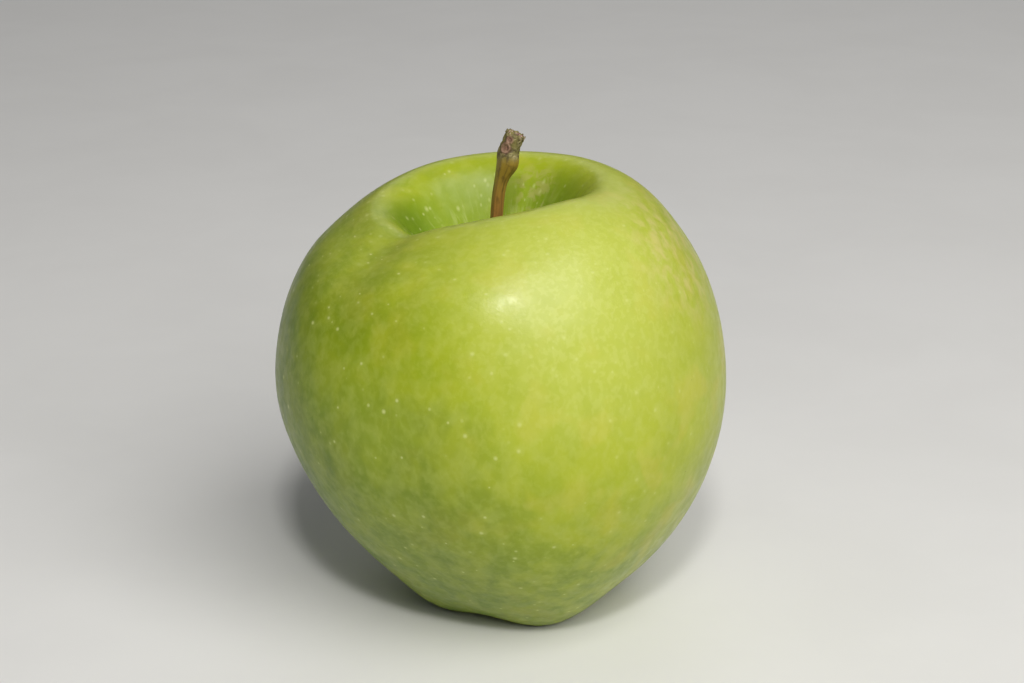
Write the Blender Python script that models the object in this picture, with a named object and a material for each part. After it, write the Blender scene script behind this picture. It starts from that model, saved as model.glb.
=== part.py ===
"""A green eating apple: the fruit, its stem, and the dried flower in the basin underneath.

Metres, +Z up. The apple stands on its lobes at z = 0, and the Z axis runs through the middle of its
bounding box. Its front is towards -Y. The dimensions below are in millimetres, and angles are in degrees
around the axis, with 0 at the front and +90 at +X. object_from turns each shape into metres.
"""

import math

import bmesh
import bpy
from mathutils import Matrix, Vector

METRES_PER_MM = 0.001
SMALLEST_GAP = 0.3

# The fruit before it grew lopsided: the cage of the cubic B-spline that is turned around the axis, as
# (distance from the axis, height), from the floor of the stem cavity to the floor of the calyx basin.
SECTION_CAGE = [
    (0.0, 55.5),
    (4.0, 56.5),
    (8.0, 63.5),
    (11.5, 70.8),
    (16.7, 76.6),
    (25.6, 70.8),
    (33.0, 60.3),
    (37.7, 45.7),
    (37.2, 31.8),
    (30.7, 17.5),
    (21.8, 6.3),
    (13.5, -1.5),
    (8.5, 2.0),
    (4.5, 8.5),
    (0.0, 9.8),
]
SAMPLES_PER_SPAN = 3
STEPS_AROUND = 60
MERGE_DISTANCE = 0.001

# The five lobes. The first faces the front, and the wander makes their spacing uneven.
LOBES = 5
FRONT_LOBE_ANGLE = 17.0
LOBE_WANDER = 0.56
LOBE_DEPTH_AT_SIDE = 0.008
LOBE_DEPTH_AT_BASE = 0.035
BASE_LOBES_END = 32.0
TOP_LOBES_FADE = (49.0, 70.0)
LOBE_REACH_AT_FOOT = 0.6
FOOT_HEIGHT = 9.0
FOOT_RADII = (6.0, 12.0)

# The rim of the stem cavity hangs low over one side, and the whole top leans. Each change fades in over
# one pair of heights or radii, and out again over another.
DIP_DEPTH = 6.9
DIP_ANGLE = -60.0
DIP_HALF_WIDTH = 71.0
DIP_HEIGHTS = (39.0, 69.0)
DIP_RADII_IN = (1.0, 14.0)
DIP_RADII_OUT = (20.0, 38.0)
TOP_SLOPE_SIDEWAYS = -0.004
TOP_SLOPE_BACKWARDS = -0.102
SLOPE_HEIGHTS = (25.0, 67.0)

# The mouth of the stem cavity opens wide to the left, and its rim has a shallow notch at the front.
MOUTH_HEIGHTS = (57.0, 68.0)
MOUTH_RADII_IN = (3.0, 11.0)
MOUTH_RADII_OUT = (14.0, 30.0)
MOUTH_OPENING = 2.9
MOUTH_OPENING_ANGLE = -84.0
MOUTH_OPENING_HALF_WIDTH = 50.0
NOTCH_DEPTH = 0.4
NOTCH_ANGLE = 15.0
NOTCH_HALF_WIDTH = 18.0

# The base sits to the right of the top.
BASE_SHIFT = 3.3
BASE_SHIFT_END = 44.0

# The stem: (x, height, radius) of each ring, from its root in the flesh to its broken end.
STEM_RINGS = [
    (0.0, 54.2, 1.30),
    (0.0, 56.0, 1.25),
    (-0.3, 59.5, 1.08),
    (-0.5, 64.0, 1.03),
    (-0.4, 68.0, 1.04),
    (0.0, 71.5, 1.06),
    (0.4, 73.5, 1.14),
    (0.9, 75.1, 1.45),
    (1.3, 76.3, 1.66),
    (1.5, 77.5, 1.75),
    (1.9, 79.1, 1.64),
    (2.65, 81.0, 1.66),
]
STEM_SIDES = 12
STEM_SOCKET_DEPTH = 2.05

# The dried flower. Heights are measured up from the table.
SEPALS = 5
SEPAL_ROOT_HEIGHT = 7.8
SEPAL_LENGTH = 3.7
SEPAL_THICKNESS = 0.5
SEPAL_ROOT_RADIUS = 3.2
SEPAL_WAIST_RADIUS = 2.4
SEPAL_TIP_RADIUS = 4.4
SEPAL_ROOT_HALF_ANGLE = 28.0
SEPAL_TIP_HALF_ANGLE = 6.0
SEPAL_WAIST_ALONG = (0.0, 0.5)
SEPAL_CURL_ALONG = (0.45, 1.2)
SEPAL_COLUMNS = 4
SEPAL_ROWS = 6
STAMENS_TOP_HEIGHT = 8.8
STAMENS_LENGTH = 3.6
STAMENS_ROOT_RADIUS = 0.95
STAMENS_TIP_RADIUS = 0.7
STAMENS_SIDES = 10

SKIN_COLOUR = (0.40, 0.49, 0.05)
BARK_COLOUR = (0.16, 0.09, 0.035)
SEPAL_COLOUR = (0.20, 0.17, 0.07)
STAMEN_COLOUR = (0.09, 0.055, 0.03)
SKIN_ROUGHNESS = 0.38
BARK_ROUGHNESS = 0.75
SEPAL_ROUGHNESS = 0.85
STAMEN_ROUGHNESS = 0.9
SHARP_ANGLE = 40.0


def clear_scene():
    for old in list(bpy.data.objects):
        bpy.data.objects.remove(old, do_unlink=True)


def material_of(name, colour, roughness):
    """A plain material that isn't metal."""
    material = bpy.data.materials.new(name)
    material.use_nodes = True
    shader = material.node_tree.nodes["Principled BSDF"]
    shader.inputs["Base Color"].default_value = (*colour, 1.0)
    shader.inputs["Roughness"].default_value = roughness
    shader.inputs["Metallic"].default_value = 0.0
    return material


def object_from(name, shape, material, parent):
    """The object made of a bmesh in millimetres, which this frees."""
    bmesh.ops.scale(shape, vec=Vector((METRES_PER_MM,) * 3), verts=shape.verts)
    bmesh.ops.recalc_face_normals(shape, faces=shape.faces)
    mesh = bpy.data.meshes.new(name)
    shape.to_mesh(mesh)
    shape.free()
    mesh.shade_smooth()
    mesh.set_sharp_from_angle(angle=math.radians(SHARP_ANGLE))
    mesh.materials.append(material)
    made = bpy.data.objects.new(name, mesh)
    made.parent = parent
    bpy.context.scene.collection.objects.link(made)
    return made


def fade_in(value, start, end):
    """0 up to start, 1 from end on, and an S-curve between them."""
    share = min(max((value - start) / (end - start), 0.0), 1.0)
    return share * share * (3.0 - 2.0 * share)


def between(value, fade_up, fade_down):
    """1 between the two fades and 0 outside them."""
    return fade_in(value, *fade_up) * (1.0 - fade_in(value, *fade_down))


def nearness(angle, middle, half_width):
    """A bell around the axis: 1 at the middle, which is in degrees like the half width."""
    turn = math.remainder(angle - math.radians(middle), math.tau)
    return math.exp(-((turn / math.radians(half_width)) ** 2))


def spline_points(cage, samples):
    """Points along a uniform cubic B-spline. Both its ends cross the axis level."""
    before = (-cage[1][0], cage[1][1])
    after = (-cage[-2][0], cage[-2][1])
    full = [before, *cage, after]
    points = []
    for span in range(len(cage)):
        last_span = span == len(cage) - 1
        for step in range(1 if last_span else samples):
            points.append(spline_point(full[span : span + 4], step / samples))
    return points


def spline_point(corners, share):
    """The point at this share of one span, whose four cage points are the corners. The last has only three."""
    weights = (
        (1.0 - share) ** 3,
        3.0 * share**3 - 6.0 * share**2 + 4.0,
        -3.0 * share**3 + 3.0 * share**2 + 3.0 * share + 1.0,
        share**3,
    )
    radius = sum(weight * corner[0] for weight, corner in zip(weights, corners)) / 6.0
    height = sum(weight * corner[1] for weight, corner in zip(weights, corners)) / 6.0
    return radius, height


def lobe_wave(angle):
    """1 on the middle of each lobe and -1 halfway between two."""
    turn = angle - math.radians(FRONT_LOBE_ANGLE)
    return math.cos(LOBES * turn - LOBE_WANDER * math.sin(turn))


def grown(radius, height, angle):
    """Where a point of the even, turned fruit lies on the real one."""
    wave = lobe_wave(angle)
    at_base = 1.0 - fade_in(height, 0.0, BASE_LOBES_END)
    at_top = fade_in(height, *TOP_LOBES_FADE)
    depth = LOBE_DEPTH_AT_SIDE * (1.0 - at_base - at_top) + LOBE_DEPTH_AT_BASE * at_base
    wide = radius * (1.0 + depth * wave)

    in_mouth = fade_in(height, *MOUTH_HEIGHTS) * between(radius, MOUTH_RADII_IN, MOUTH_RADII_OUT)
    wide += MOUTH_OPENING * in_mouth * nearness(angle, MOUTH_OPENING_ANGLE, MOUTH_OPENING_HALF_WIDTH)

    on_foot = (1.0 - fade_in(height, 0.0, FOOT_HEIGHT)) * fade_in(radius, *FOOT_RADII)
    hanging = fade_in(height, *DIP_HEIGHTS) * between(radius, DIP_RADII_IN, DIP_RADII_OUT)
    high = height - LOBE_REACH_AT_FOOT * on_foot * wave
    high -= DIP_DEPTH * hanging * nearness(angle, DIP_ANGLE, DIP_HALF_WIDTH)
    high -= NOTCH_DEPTH * in_mouth * nearness(angle, NOTCH_ANGLE, NOTCH_HALF_WIDTH)

    x = wide * math.sin(angle)
    y = -wide * math.cos(angle)
    high += (TOP_SLOPE_SIDEWAYS * x + TOP_SLOPE_BACKWARDS * y) * fade_in(height, *SLOPE_HEIGHTS)
    return Vector((x + axis_shift(height), y, high))


def axis_shift(height):
    """How far the fruit's axis lies to the right at this height."""
    return BASE_SHIFT * (1.0 - fade_in(height, 0.0, BASE_SHIFT_END))


def fruit_section():
    """The turned section, with the narrow socket that the stem's root stands in."""
    skin = spline_points(SECTION_CAGE, SAMPLES_PER_SPAN)
    floor = skin[0][1]
    socket_radius = STEM_RINGS[0][2] + SMALLEST_GAP
    socket_floor = floor - STEM_SOCKET_DEPTH
    socket = [(0.0, socket_floor), (socket_radius, socket_floor), (socket_radius, floor)]
    return socket + [point for point in skin if point[0] > socket_radius + SMALLEST_GAP] + [skin[-1]]


def stand_on_lobes(shape):
    """Cuts the tips of the lobes off level with the table and closes the cuts."""
    everything = shape.verts[:] + shape.edges[:] + shape.faces[:]
    bmesh.ops.bisect_plane(
        shape,
        geom=everything,
        dist=MERGE_DISTANCE,
        plane_co=(0.0, 0.0, 0.0),
        plane_no=(0.0, 0.0, -1.0),
        clear_outer=True,
    )
    cut_edges = [edge for edge in shape.edges if edge.is_boundary]
    bmesh.ops.holes_fill(shape, edges=cut_edges, sides=0)


def build_fruit():
    shape = bmesh.new()
    chain = [shape.verts.new((radius, 0.0, height)) for radius, height in fruit_section()]
    links = [shape.edges.new(pair) for pair in zip(chain, chain[1:])]
    bmesh.ops.spin(
        shape,
        geom=chain + links,
        cent=(0.0, 0.0, 0.0),
        axis=(0.0, 0.0, 1.0),
        angle=math.tau,
        steps=STEPS_AROUND,
        use_merge=True,
    )
    bmesh.ops.remove_doubles(shape, verts=shape.verts, dist=MERGE_DISTANCE)
    for vert in shape.verts:
        x, y, height = vert.co
        vert.co = grown(math.hypot(x, y), height, math.atan2(x, -y))
    stand_on_lobes(shape)
    return shape


def stem_ring_place(index):
    """The matrix that takes a level unit circle to one ring of the stem."""
    x, height, radius = STEM_RINGS[index]
    below = STEM_RINGS[max(index - 1, 0)]
    above = STEM_RINGS[min(index + 1, len(STEM_RINGS) - 1)]
    lean = math.atan2(above[0] - below[0], above[1] - below[1])
    turned = Matrix.Rotation(lean, 4, "Y")
    return Matrix.Translation((x, 0.0, height)) @ turned @ Matrix.Scale(radius, 4)


def build_stem():
    shape = bmesh.new()
    bmesh.ops.create_circle(shape, cap_ends=False, segments=STEM_SIDES, radius=1.0, matrix=stem_ring_place(0))
    ring = shape.edges[:]
    for index in range(1, len(STEM_RINGS)):
        made = bmesh.ops.extrude_edge_only(shape, edges=ring)["geom"]
        ring = [item for item in made if isinstance(item, bmesh.types.BMEdge)]
        step = stem_ring_place(index) @ stem_ring_place(index - 1).inverted()
        verts = [item for item in made if isinstance(item, bmesh.types.BMVert)]
        bmesh.ops.transform(shape, matrix=step, verts=verts)
    ends = [edge for edge in shape.edges if edge.is_boundary]
    bmesh.ops.holes_fill(shape, edges=ends, sides=0)
    return shape


def sepal_point(across, along):
    """A point of a dried sepal: across runs from -1 to 1, and along from 0 at its root to 1 at its tip."""
    half_angle = SEPAL_ROOT_HALF_ANGLE + (SEPAL_TIP_HALF_ANGLE - SEPAL_ROOT_HALF_ANGLE) * along
    to_waist = SEPAL_ROOT_RADIUS + (SEPAL_WAIST_RADIUS - SEPAL_ROOT_RADIUS) * fade_in(along, *SEPAL_WAIST_ALONG)
    radius = to_waist + (SEPAL_TIP_RADIUS - SEPAL_WAIST_RADIUS) * fade_in(along, *SEPAL_CURL_ALONG)
    turn = math.radians(half_angle) * across
    return Vector((radius * math.sin(turn), -radius * math.cos(turn), SEPAL_ROOT_HEIGHT - SEPAL_LENGTH * along))


def build_sepal(turn):
    """One sepal: it hangs from the basin's floor, leans in over the stamens, and its tip curls out."""
    shape = bmesh.new()
    bmesh.ops.create_grid(shape, x_segments=SEPAL_COLUMNS, y_segments=SEPAL_ROWS, size=1.0)
    for vert in shape.verts:
        vert.co = sepal_point(vert.co.x, (vert.co.y + 1.0) / 2.0)
    shape.normal_update()
    bmesh.ops.solidify(shape, geom=shape.faces[:], thickness=SEPAL_THICKNESS)
    bmesh.ops.rotate(shape, cent=(0.0, 0.0, 0.0), matrix=Matrix.Rotation(turn, 3, "Z"), verts=shape.verts)
    bmesh.ops.translate(shape, vec=(axis_shift(SEPAL_ROOT_HEIGHT), 0.0, 0.0), verts=shape.verts)
    return shape


def build_stamens():
    shape = bmesh.new()
    middle = STAMENS_TOP_HEIGHT - STAMENS_LENGTH / 2.0
    bmesh.ops.create_cone(
        shape,
        cap_ends=True,
        segments=STAMENS_SIDES,
        radius1=STAMENS_TIP_RADIUS,
        radius2=STAMENS_ROOT_RADIUS,
        depth=STAMENS_LENGTH,
        matrix=Matrix.Translation((axis_shift(SEPAL_ROOT_HEIGHT), 0.0, middle)),
    )
    return shape


def centre_on_axis(apple, pieces):
    """Moves the whole apple so that the middle of its bounding box is on the Z axis."""
    corners = [vert.co for piece in pieces for vert in piece.data.vertices]
    for side in (0, 1):
        values = [corner[side] for corner in corners]
        apple.location[side] = -(min(values) + max(values)) / 2.0


def main():
    clear_scene()
    apple = bpy.data.objects.new("apple", None)
    bpy.context.scene.collection.objects.link(apple)

    skin = material_of("green_skin", SKIN_COLOUR, SKIN_ROUGHNESS)
    bark = material_of("stem_bark", BARK_COLOUR, BARK_ROUGHNESS)
    dry_leaf = material_of("dried_sepal", SEPAL_COLOUR, SEPAL_ROUGHNESS)
    dry_thread = material_of("dried_stamen", STAMEN_COLOUR, STAMEN_ROUGHNESS)

    pieces = [
        object_from("fruit", build_fruit(), skin, apple),
        object_from("stem", build_stem(), bark, apple),
        object_from("dried_stamens", build_stamens(), dry_thread, apple),
    ]
    for number in range(SEPALS):
        sepal = build_sepal(math.tau * number / SEPALS)
        pieces.append(object_from(f"sepal_{number + 1}", sepal, dry_leaf, apple))
    centre_on_axis(apple, pieces)


main()
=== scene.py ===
# %% [markdown]
# # A green apple, grown in code
#
# A real apple starts as an even, turned shape and then grows lopsided. This lesson does the same: it turns
# a section around the fruit's axis, lets five lobes and a low place in the rim push it out of true, and then
# works on the skin, the woody stem, and the dried flower in the basin underneath.
#
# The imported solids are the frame. Each one tells where its finished piece belongs, and stays hidden behind
# it.

import math
import random

import bmesh
import bpy
from mathutils import Matrix, Vector, noise


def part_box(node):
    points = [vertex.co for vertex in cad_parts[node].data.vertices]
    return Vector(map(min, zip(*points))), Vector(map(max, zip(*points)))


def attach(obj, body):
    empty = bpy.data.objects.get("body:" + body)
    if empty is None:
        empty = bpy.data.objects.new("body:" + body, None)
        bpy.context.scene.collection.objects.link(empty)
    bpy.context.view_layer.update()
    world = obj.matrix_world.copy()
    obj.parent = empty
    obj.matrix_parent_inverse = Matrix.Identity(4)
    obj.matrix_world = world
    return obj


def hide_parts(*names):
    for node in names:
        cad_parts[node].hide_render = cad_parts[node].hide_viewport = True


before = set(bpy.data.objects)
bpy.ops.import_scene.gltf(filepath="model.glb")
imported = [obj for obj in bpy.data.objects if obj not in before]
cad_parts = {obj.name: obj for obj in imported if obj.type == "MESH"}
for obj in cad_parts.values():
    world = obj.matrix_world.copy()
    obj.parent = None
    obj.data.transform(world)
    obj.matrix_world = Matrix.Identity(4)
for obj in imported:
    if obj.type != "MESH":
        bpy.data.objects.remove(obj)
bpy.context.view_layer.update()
MM = 0.001

# %% [markdown]
# ## Camera
#
# The viewer looks at the fruit's upper half from a little above, with a long lens that keeps its outline
# calm. The camera is placed first, so that every later piece can be judged through it.

# %% Camera
CAMERA_LIFT = math.radians(21.8)
CAMERA_DISTANCE = 0.400
CAMERA_LENS = 85.0
AIM_SIDEWAYS = 0.0017
AIM_HEIGHT_SHARE = 0.602


def add_camera():
    low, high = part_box("fruit")
    aim = Vector((AIM_SIDEWAYS, 0.0, low.z + AIM_HEIGHT_SHARE * (high.z - low.z)))
    towards_camera = Vector((0.0, -math.cos(CAMERA_LIFT), math.sin(CAMERA_LIFT)))
    camera = bpy.data.objects.new("camera", bpy.data.cameras.new("camera"))
    camera.data.lens = CAMERA_LENS
    camera.data.clip_start = 0.01
    camera.location = aim + CAMERA_DISTANCE * towards_camera
    camera.rotation_euler = towards_camera.to_track_quat("Z", "Y").to_euler()
    bpy.context.scene.collection.objects.link(camera)
    bpy.context.scene.camera = camera
    return aim


aim = add_camera()
print("camera aims at", [round(value * 1000, 1) for value in aim], "mm")

# %% [markdown]
# ## Helpers for shapes
#
# All shapes are drawn in millimetres, as in the workshop, and become metres when they become objects. Each
# finished object sits at the origin with its place in its mesh.

# %% Helpers for shapes


def fade_in(value, start, end):
    """0 up to start, 1 from end on, and an S-curve between them."""
    share = min(max((value - start) / (end - start), 0.0), 1.0)
    return share * share * (3.0 - 2.0 * share)


def hump(distance, width):
    """A bell of height 1."""
    return math.exp(-((distance / width) ** 2))


def spline_point(corners, share):
    """The point at this share of one span of a uniform cubic B-spline."""
    weights = (
        (1.0 - share) ** 3,
        3.0 * share**3 - 6.0 * share**2 + 4.0,
        -3.0 * share**3 + 3.0 * share**2 + 3.0 * share + 1.0,
        share**3,
    )
    return [sum(w * c[axis] for w, c in zip(weights, corners)) / 6.0 for axis in range(len(corners[0]))]


def spline_points(cage, samples):
    """Points along the spline of a cage whose first and last points only steer its ends."""
    points = []
    for span in range(len(cage) - 3):
        points += [spline_point(cage[span : span + 4], step / samples) for step in range(samples)]
    return points + [spline_point(cage[-4:], 1.0)]


def object_from(shape, name, material, stands_for=(), shift=Vector()):
    """The object made of a bmesh in millimetres. It rides on the root body and stands for CAD nodes."""
    bmesh.ops.translate(shape, vec=shift, verts=shape.verts)
    bmesh.ops.scale(shape, vec=Vector((MM, MM, MM)), verts=shape.verts)
    mesh = bpy.data.meshes.new(name)
    shape.to_mesh(mesh)
    shape.free()
    mesh.shade_smooth()
    mesh.materials.append(material)
    made = bpy.data.objects.new(name, mesh)
    bpy.context.scene.collection.objects.link(made)
    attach(made, "root")
    if stands_for:
        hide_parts(*stands_for)
    print(name, "has", len(mesh.polygons), "faces")
    return made


# %% [markdown]
# ## Helpers for materials
#
# A material is a net of small nodes. `node` adds one and wires its inputs in the same line, so that each
# recipe below reads from top to bottom: places first, then masks, then colours, then the shader.

# %% Helpers for materials


def node(tree, kind, inputs=None, **settings):
    """Adds a node. A socket among the inputs is linked, and anything else becomes a value."""
    made = tree.nodes.new(kind)
    for key, value in settings.items():
        setattr(made, key, value)
    for key, value in (inputs or {}).items():
        if isinstance(value, bpy.types.NodeSocket):
            tree.links.new(value, made.inputs[key])
        else:
            made.inputs[key].default_value = value
    return made


def maths(tree, operation, a, b=0.0, clamp=False):
    return node(tree, "ShaderNodeMath", {0: a, 1: b}, operation=operation, use_clamp=clamp).outputs[0]


def ramp(tree, value, start, end, low=0.0, high=1.0):
    """Turns value from start to end smoothly into low to high."""
    made = node(
        tree,
        "ShaderNodeMapRange",
        {"Value": value, "From Min": start, "From Max": end, "To Min": low, "To Max": high},
        interpolation_type="SMOOTHSTEP",
    )
    return made.outputs["Result"]


def tint(tree, factor, under, over):
    """Lays the colour over on the colour under, as much as factor says."""
    made = node(tree, "ShaderNodeMix", {"Factor": factor}, data_type="RGBA")
    for index, colour in ((6, under), (7, over)):
        if isinstance(colour, bpy.types.NodeSocket):
            tree.links.new(colour, made.inputs[index])
        else:
            made.inputs[index].default_value = (*colour, 1.0)
    return made.outputs[2]


def stretch(tree, vector, scale):
    """The same places, scaled along each axis."""
    return node(tree, "ShaderNodeMapping", {"Vector": vector, "Scale": scale}).outputs["Vector"]


def object_mm(tree):
    """Where a point lies on the piece, in millimetres."""
    places = node(tree, "ShaderNodeTexCoord").outputs["Object"]
    return stretch(tree, places, (1000.0, 1000.0, 1000.0))


def own_vector(tree, name):
    """A vector that the piece's own mesh carries."""
    return node(tree, "ShaderNodeAttribute", attribute_name=name).outputs["Vector"]


def vector_maths(tree, operation, a, b=(0.0, 0.0, 0.0)):
    return node(tree, "ShaderNodeVectorMath", {0: a, 1: b}, operation=operation).outputs["Vector"]


def meridian_grain(tree, grain, radius, along_scale):
    """Places around a cylinder of this radius and along its grain, so that marks follow the meridians."""
    around = vector_maths(tree, "NORMALIZE", vector_maths(tree, "MULTIPLY", grain, (1.0, 1.0, 0.0)))
    around = vector_maths(tree, "MULTIPLY", around, (radius, radius, 0.0))
    along = vector_maths(tree, "MULTIPLY", grain, (0.0, 0.0, along_scale))
    return vector_maths(tree, "ADD", around, along)


def group_of(tree, group, inputs):
    return node(tree, "ShaderNodeGroup", inputs, node_tree=group)


# %% [markdown]
# ## Effects that several finishes share
#
# Clouds, spots and fibres turn up on skin, bark and dry leaves alike. Each is one node group, with a size in
# millimetres, so the same effect can be soft and wide on the cheek of the fruit and tight on the stem.

# %% Shared effects


def new_group(name, inputs, outputs):
    """An empty shader group. inputs maps a socket's name to its default: a number, or None for a vector."""
    group = bpy.data.node_groups.new(name, "ShaderNodeTree")
    for socket, default in inputs.items():
        kind = "NodeSocketVector" if default is None else "NodeSocketFloat"
        made = group.interface.new_socket(name=socket, in_out="INPUT", socket_type=kind)
        if default is not None:
            made.default_value = default
    for socket in outputs:
        group.interface.new_socket(name=socket, in_out="OUTPUT", socket_type="NodeSocketFloat")
    source = group.nodes.new("NodeGroupInput").outputs
    target = group.nodes.new("NodeGroupOutput").inputs
    return group, source, target


def cloud_group():
    """Soft patches: 1 inside them, 0 between them."""
    wanted = {"Vector": None, "Size": 5.0, "Detail": 3.0, "From": 0.4, "To": 0.6, "Wobble": 0.3}
    group, source, target = new_group("clouds", wanted, ["Mask"])
    texture = node(
        group,
        "ShaderNodeTexNoise",
        {
            "Vector": source["Vector"],
            "Scale": maths(group, "DIVIDE", 1.0, source["Size"]),
            "Detail": source["Detail"],
            "Distortion": source["Wobble"],
        },
    )
    mask = ramp(group, texture.outputs["Fac"], source["From"], source["To"])
    group.links.new(mask, target["Mask"])
    return group


def spot_group():
    """Round spots at scattered places. Some places stay empty, and the spots differ in size."""
    wanted = {"Vector": None, "Spacing": 5.0, "Radius": 0.4, "Share": 0.6, "Soft": 0.3}
    group, source, target = new_group("spots", wanted, ["Mask", "Halo"])
    cells = node(
        group,
        "ShaderNodeTexVoronoi",
        {"Vector": source["Vector"], "Scale": maths(group, "DIVIDE", 1.0, source["Spacing"])},
    )
    distance = maths(group, "MULTIPLY", cells.outputs["Distance"], source["Spacing"])
    chance = node(group, "ShaderNodeSeparateColor", {"Color": cells.outputs["Color"]})
    size = maths(group, "MULTIPLY_ADD", chance.outputs["Green"], 0.7)
    size.node.inputs[2].default_value = 0.5
    radius = maths(group, "MULTIPLY", source["Radius"], size)
    there = maths(group, "LESS_THAN", chance.outputs["Red"], source["Share"])
    inner = maths(group, "MULTIPLY", radius, maths(group, "SUBTRACT", 1.0, source["Soft"]))
    spot = ramp(group, distance, radius, inner)
    halo = ramp(group, distance, maths(group, "MULTIPLY", radius, 2.6), inner)
    group.links.new(maths(group, "MULTIPLY", spot, there), target["Mask"])
    group.links.new(maths(group, "MULTIPLY", halo, there), target["Halo"])
    return group


def fibre_group():
    """Long streaks that follow the third axis of the vector."""
    wanted = {"Vector": None, "Width": 0.3, "Length": 6.0, "From": 0.4, "To": 0.6}
    group, source, target = new_group("fibres", wanted, ["Mask"])
    parts = node(group, "ShaderNodeSeparateXYZ", {"Vector": source["Vector"]})
    across_x = maths(group, "DIVIDE", parts.outputs["X"], source["Width"])
    across_y = maths(group, "DIVIDE", parts.outputs["Y"], source["Width"])
    along = maths(group, "DIVIDE", parts.outputs["Z"], source["Length"])
    drawn = node(group, "ShaderNodeCombineXYZ", {"X": across_x, "Y": across_y, "Z": along}).outputs["Vector"]
    texture = node(group, "ShaderNodeTexNoise", {"Vector": drawn, "Scale": 1.0, "Detail": 4.0})
    mask = ramp(group, texture.outputs["Fac"], source["From"], source["To"])
    group.links.new(mask, target["Mask"])
    return group


clouds, spots, fibres = cloud_group(), spot_group(), fibre_group()
print("shared effects:", [group.name for group in (clouds, spots, fibres)])


def cloud_mask(tree, vector, size, start=0.4, end=0.6, detail=3.0, wobble=0.3):
    settings = {"Vector": vector, "Size": size, "From": start, "To": end, "Detail": detail, "Wobble": wobble}
    return group_of(tree, clouds, settings).outputs["Mask"]


def spot_masks(tree, vector, spacing, radius, share, soft=0.5):
    settings = {"Vector": vector, "Spacing": spacing, "Radius": radius, "Share": share, "Soft": soft}
    made = group_of(tree, spots, settings)
    return made.outputs["Mask"], made.outputs["Halo"]


def fibre_mask(tree, vector, width, length, start=0.4, end=0.6):
    settings = {"Vector": vector, "Width": width, "Length": length, "From": start, "To": end}
    return group_of(tree, fibres, settings).outputs["Mask"]


def share_of(tree, mask, amount):
    """A mask made weaker."""
    return maths(tree, "MULTIPLY", mask, amount)


def both(tree, a, b):
    """Where two masks overlap."""
    return maths(tree, "MULTIPLY", a, b)


def new_material(name):
    """A material with its Principled shader, ready to be wired."""
    material = bpy.data.materials.new(name)
    material.use_nodes = True
    return material, material.node_tree, material.node_tree.nodes["Principled BSDF"]


def finish_shader(tree, shader, colour, roughness, height, bump_strength, bump_mm):
    """Wires colour, roughness and a bump whose full height is bump_mm."""
    relief = {"Height": height, "Strength": bump_strength, "Distance": bump_mm * MM}
    bump = node(tree, "ShaderNodeBump", relief)
    tree.links.new(colour, shader.inputs["Base Color"])
    tree.links.new(roughness, shader.inputs["Roughness"])
    tree.links.new(bump.outputs["Normal"], shader.inputs["Normal"])


# %% [markdown]
# ## The skin of a green apple
#
# Seen close, the skin isn't one green. Deep green lies under pale, waxy clouds that were stretched lengthwise
# as the fruit grew. Small pale pores dot the cheek: they are round on the side, and drawn out into flecks
# where they run over the rim into the stem cavity. The right shoulder turns tan, a tan net and pale rays lie
# around the stem, and the basin is russet. Light and shade are painted in as well. The right and upper side
# is paler and yellower, partly the fruit's own sunny side and partly painted light, and a painted sheen
# pales the upper front. Painted shade darkens the left side, the base, the stem cavity, a crease at the left
# of the mouth and the cavity's right wall.
#
# A picture could be wrapped round the fruit, but it would pinch at both ends. Instead the mesh carries its
# own coordinates, `skin_grain`: two of them say where a point lay before the fruit grew out of true, and the
# third runs along the section from the stem to the basin. A pattern on them stretches as the real skin did.

# %% Skin colours, in linear light
DEEP_GREEN = (0.125, 0.205, 0.006)
LEAF_GREEN = (0.260, 0.355, 0.010)
# painted shade for the stem cavity
CAVITY_SHADE_GREEN = (0.225, 0.330, 0.008)
# painted shade, in the crease at the left of the mouth and on the right wall of the cavity
PAINTED_SHADE_GREEN = (0.110, 0.190, 0.006)
YELLOW_GREEN = (0.385, 0.435, 0.018)
PALE_GREEN = (0.500, 0.545, 0.130)
PALE_DOT = (0.680, 0.720, 0.300)
WARM_YELLOW = (0.600, 0.470, 0.070)
SHOULDER_TAN_COLOUR = (0.700, 0.550, 0.290)
TAN_NET = (0.440, 0.400, 0.130)
RUSSET = (0.330, 0.250, 0.070)
DARK_SPECK = (0.100, 0.100, 0.015)

# %% [markdown]
# ## Where the skin changes
#
# Two kinds of measure say where. A place is a point of the finished fruit, in millimetres. A distance along
# is counted on the section, from the stem over the rim and down to the basin, so it follows the skin round
# the rim. Each pair of distances is where a change starts and where it is complete.

# %% Places on the skin
# painted sheen: the middle of a pale patch on the upper front
PAINTED_SHEEN_PLACE = (13.0, -27.0, 62.0)
TAN_SHOULDER = (27.0, -9.0, 64.0)
# painted shade in the crease at the left end of the mouth
CREASE_SHADE_PLACE = (-14.0, 0.0, 65.0)
# painted shadow on the right wall of the stem cavity
SHADY_WALL = (8.0, 5.0, 68.0)
TAN_WALL = (5.5, 10.0, 68.5)
# the side facing the lamps, painted paler and yellower: partly the fruit's own sunny side, partly painted
# light
SUN_AND_LIT_SIDE_LIFT = 0.45
SUN_AND_LIT_SIDE_REACH = (-22.0, 48.0)
# painted shade low on the fruit: the heights over which it fades out, and the share of leaf green left at the
# bottom
PAINTED_BASE_SHADE_HEIGHTS = (8.0, 44.0)
PAINTED_BASE_SHADE_SHARE = 0.32

# painted shade: the distances over which the stem cavity darkens
CAVITY_SHADE_ALONG = (27.0, 16.0)
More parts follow.
